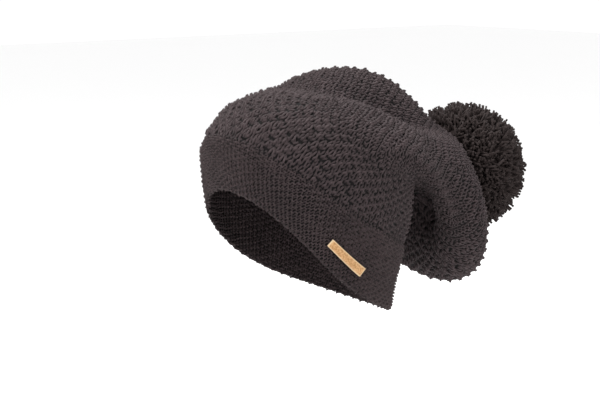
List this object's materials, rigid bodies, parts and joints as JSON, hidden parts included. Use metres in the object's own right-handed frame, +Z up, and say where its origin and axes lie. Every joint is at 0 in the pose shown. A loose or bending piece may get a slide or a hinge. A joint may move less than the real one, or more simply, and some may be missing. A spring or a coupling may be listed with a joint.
{
  "type": "bobble hat",
  "caption": "Slouchy knitted hat in its worn form, with a fine-stitched band, a chunky crown that falls back into a pouch, a pompom and a small bare leather label.",
  "frame": {"origin": "middle of the rim, where a head goes in and holds the hat up", "axes": "+Z up with the wearer's head upright, -Y the way the wearer faces, +X the wearer's left, where the label is; the pompom is at the back, towards +Y"},
  "size_m": [0.1948, 0.3705, 0.2328],
  "materials": {
    "band_knit": "matte black yarn in fine moss stitch",
    "crown_knit": "matte black yarn in chunky moss stitch",
    "pompom_yarn": "matte black cut yarn",
    "label_leather": "smooth natural tan leather with pale cut edges"
  },
  "bodies": {
    "root": {"brim_band": "band_knit", "crown": "crown_knit", "pouch": "crown_knit", "pompom": "pompom_yarn", "label": "label_leather"}
  },
  "joints": []
}
